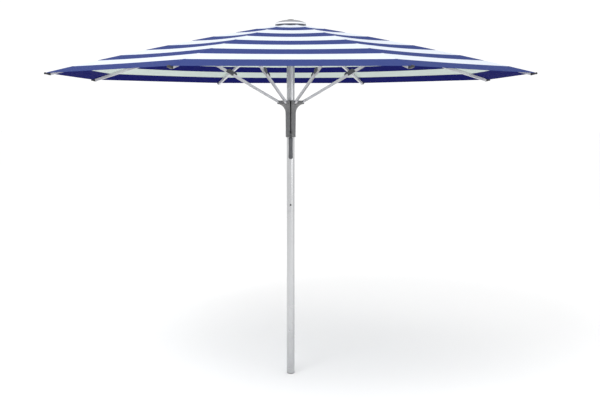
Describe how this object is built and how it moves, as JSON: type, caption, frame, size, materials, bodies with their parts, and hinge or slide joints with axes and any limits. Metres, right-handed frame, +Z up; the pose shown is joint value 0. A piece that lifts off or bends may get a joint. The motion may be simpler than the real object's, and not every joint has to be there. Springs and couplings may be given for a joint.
{
  "type": "beach umbrella",
  "caption": "Open centre-pole beach umbrella: octagonal striped canopy on ribs and struts that fold by a sliding runner with a grip lever, on a plain round mast.",
  "frame": {"origin": "centre of the mast's foot, on the mast's axis", "axes": "+Z up the mast, -Y towards the viewer and the lever, +X to the right"},
  "size_m": [2.7966, 2.7966, 2.2692],
  "materials": {
    "canopy_cloth": "woven acrylic or polyester, blue and white stripes",
    "mast_metal": "satin anodised tube",
    "sleeve_metal": "plain tube",
    "rib_metal": "satin, powder-coated light grey",
    "strut_metal": "satin, powder-coated light grey",
    "bracket_steel": "satin grey",
    "pin_steel": "plated",
    "screw_steel": "blackened",
    "runner_plastic": "moulded, fine grain",
    "lever_plastic": "moulded",
    "grip_plastic": "moulded, fine grain",
    "hub_plastic": "moulded",
    "tip_plastic": "moulded",
    "buffer_plastic": "moulded",
    "foot_plastic": "moulded",
    "cap_plastic": "moulded",
    "finial_plastic": "moulded",
    "pad_rubber": "moulded"
  },
  "bodies": {
    "mast": {"foot_plug": "foot_plastic", "mast_lower": "mast_metal", "mast_upper": "mast_metal", "mast_sleeve": "sleeve_metal", "sleeve_screw": "screw_steel", "crown_hub": "hub_plastic", "hub_pins": "pin_steel", "canopy": "canopy_cloth", "crown_cap": "cap_plastic", "finial": "finial_plastic"},
    "runner": {"runner": "runner_plastic", "brake_pad": "pad_rubber", "lever_pin": "pin_steel"},
    "lever": {"lever_arm": "lever_plastic", "lever_grip": "grip_plastic"},
    "rib_1": {"rib_1": "rib_metal", "rib_tip_1": "tip_plastic", "rib_bracket_1": "bracket_steel"},
    "strut_1": {"strut_1": "strut_metal", "strut_buffer_1": "buffer_plastic"},
    "rib_2": {"rib_2": "rib_metal", "rib_tip_2": "tip_plastic", "rib_bracket_2": "bracket_steel"},
    "strut_2": {"strut_2": "strut_metal", "strut_buffer_2": "buffer_plastic"},
    "rib_3": {"rib_3": "rib_metal", "rib_tip_3": "tip_plastic", "rib_bracket_3": "bracket_steel"},
    "strut_3": {"strut_3": "strut_metal", "strut_buffer_3": "buffer_plastic"},
    "rib_4": {"rib_4": "rib_metal", "rib_tip_4": "tip_plastic", "rib_bracket_4": "bracket_steel"},
    "strut_4": {"strut_4": "strut_metal", "strut_buffer_4": "buffer_plastic"},
    "rib_5": {"rib_5": "rib_metal", "rib_tip_5": "tip_plastic", "rib_bracket_5": "bracket_steel"},
    "strut_5": {"strut_5": "strut_metal", "strut_buffer_5": "buffer_plastic"},
    "rib_6": {"rib_6": "rib_metal", "rib_tip_6": "tip_plastic", "rib_bracket_6": "bracket_steel"},
    "strut_6": {"strut_6": "strut_metal", "strut_buffer_6": "buffer_plastic"},
    "rib_7": {"rib_7": "rib_metal", "rib_tip_7": "tip_plastic", "rib_bracket_7": "bracket_steel"},
    "strut_7": {"strut_7": "strut_metal", "strut_buffer_7": "buffer_plastic"},
    "rib_8": {"rib_8": "rib_metal", "rib_tip_8": "tip_plastic", "rib_bracket_8": "bracket_steel"},
    "strut_8": {"strut_8": "strut_metal", "strut_buffer_8": "buffer_plastic"}
  },
  "joints": [
    {"name": "runner_slide", "type": "slide", "parent": "mast", "child": "runner", "axis": [0, 0, -1], "range_m": [0, 0.85672], "deforming": ["canopy"]},
    {"name": "lever_swing", "type": "hinge", "parent": "runner", "child": "lever", "pos_m": [0, -0.037, 1.547], "axis": [-1, 0, 0], "range_deg": [0, 100]},
    {"name": "rib_fold_1", "type": "hinge", "parent": "mast", "child": "rib_1", "pos_m": [0.04157, 0.01722, 2.223], "axis": [-0.3827, 0.9239, 0], "range_deg": [0, 74.2]},
    {"name": "strut_fold_1", "type": "hinge", "parent": "rib_1", "child": "strut_1", "pos_m": [0.62556, 0.25911, 2.07312], "axis": [0.3827, -0.9239, 0], "range_deg": [0, 135.79]},
    {"name": "rib_fold_2", "type": "hinge", "parent": "mast", "child": "rib_2", "pos_m": [0.01722, 0.04157, 2.223], "axis": [-0.9239, 0.3827, 0], "range_deg": [0, 74.2]},
    {"name": "strut_fold_2", "type": "hinge", "parent": "rib_2", "child": "strut_2", "pos_m": [0.25911, 0.62556, 2.07312], "axis": [0.9239, -0.3827, 0], "range_deg": [0, 135.79]},
    {"name": "rib_fold_3", "type": "hinge", "parent": "mast", "child": "rib_3", "pos_m": [-0.01722, 0.04157, 2.223], "axis": [-0.9239, -0.3827, 0], "range_deg": [0, 74.2]},
    {"name": "strut_fold_3", "type": "hinge", "parent": "rib_3", "child": "strut_3", "pos_m": [-0.25911, 0.62556, 2.07312], "axis": [0.9239, 0.3827, 0], "range_deg": [0, 135.79]},
    {"name": "rib_fold_4", "type": "hinge", "parent": "mast", "child": "rib_4", "pos_m": [-0.04157, 0.01722, 2.223], "axis": [-0.3827, -0.9239, 0], "range_deg": [0, 74.2]},
    {"name": "strut_fold_4", "type": "hinge", "parent": "rib_4", "child": "strut_4", "pos_m": [-0.62556, 0.25911, 2.07312], "axis": [0.3827, 0.9239, 0], "range_deg": [0, 135.79]},
    {"name": "rib_fold_5", "type": "hinge", "parent": "mast", "child": "rib_5", "pos_m": [-0.04157, -0.01722, 2.223], "axis": [0.3827, -0.9239, 0], "range_deg": [0, 74.2]},
    {"name": "strut_fold_5", "type": "hinge", "parent": "rib_5", "child": "strut_5", "pos_m": [-0.62556, -0.25911, 2.07312], "axis": [-0.3827, 0.9239, 0], "range_deg": [0, 135.79]},
    {"name": "rib_fold_6", "type": "hinge", "parent": "mast", "child": "rib_6", "pos_m": [-0.01722, -0.04157, 2.223], "axis": [0.9239, -0.3827, 0], "range_deg": [0, 74.2]},
    {"name": "strut_fold_6", "type": "hinge", "parent": "rib_6", "child": "strut_6", "pos_m": [-0.25911, -0.62556, 2.07312], "axis": [-0.9239, 0.3827, 0], "range_deg": [0, 135.79]},
    {"name": "rib_fold_7", "type": "hinge", "parent": "mast", "child": "rib_7", "pos_m": [0.01722, -0.04157, 2.223], "axis": [0.9239, 0.3827, 0], "range_deg": [0, 74.2]},
    {"name": "strut_fold_7", "type": "hinge", "parent": "rib_7", "child": "strut_7", "pos_m": [0.25911, -0.62556, 2.07312], "axis": [-0.9239, -0.3827, 0], "range_deg": [0, 135.79]},
    {"name": "rib_fold_8", "type": "hinge", "parent": "mast", "child": "rib_8", "pos_m": [0.04157, -0.01722, 2.223], "axis": [0.3827, 0.9239, 0], "range_deg": [0, 74.2]},
    {"name": "strut_fold_8", "type": "hinge", "parent": "rib_8", "child": "strut_8", "pos_m": [0.62556, -0.25911, 2.07312], "axis": [-0.3827, -0.9239, 0], "range_deg": [0, 135.79]}
  ],
  "couplings": [
    {"joint": "rib_fold_1", "follows": "runner_slide", "rad_per_m": 1.5116},
    {"joint": "strut_fold_1", "follows": "runner_slide", "rad_per_m": 2.7663},
    {"joint": "rib_fold_2", "follows": "runner_slide", "rad_per_m": 1.5116},
    {"joint": "strut_fold_2", "follows": "runner_slide", "rad_per_m": 2.7663},
    {"joint": "rib_fold_3", "follows": "runner_slide", "rad_per_m": 1.5116},
    {"joint": "strut_fold_3", "follows": "runner_slide", "rad_per_m": 2.7663},
    {"joint": "rib_fold_4", "follows": "runner_slide", "rad_per_m": 1.5116},
    {"joint": "strut_fold_4", "follows": "runner_slide", "rad_per_m": 2.7663},
    {"joint": "rib_fold_5", "follows": "runner_slide", "rad_per_m": 1.5116},
    {"joint": "strut_fold_5", "follows": "runner_slide", "rad_per_m": 2.7663},
    {"joint": "rib_fold_6", "follows": "runner_slide", "rad_per_m": 1.5116},
    {"joint": "strut_fold_6", "follows": "runner_slide", "rad_per_m": 2.7663},
    {"joint": "rib_fold_7", "follows": "runner_slide", "rad_per_m": 1.5116},
    {"joint": "strut_fold_7", "follows": "runner_slide", "rad_per_m": 2.7663},
    {"joint": "rib_fold_8", "follows": "runner_slide", "rad_per_m": 1.5116},
    {"joint": "strut_fold_8", "follows": "runner_slide", "rad_per_m": 2.7663}
  ]
}
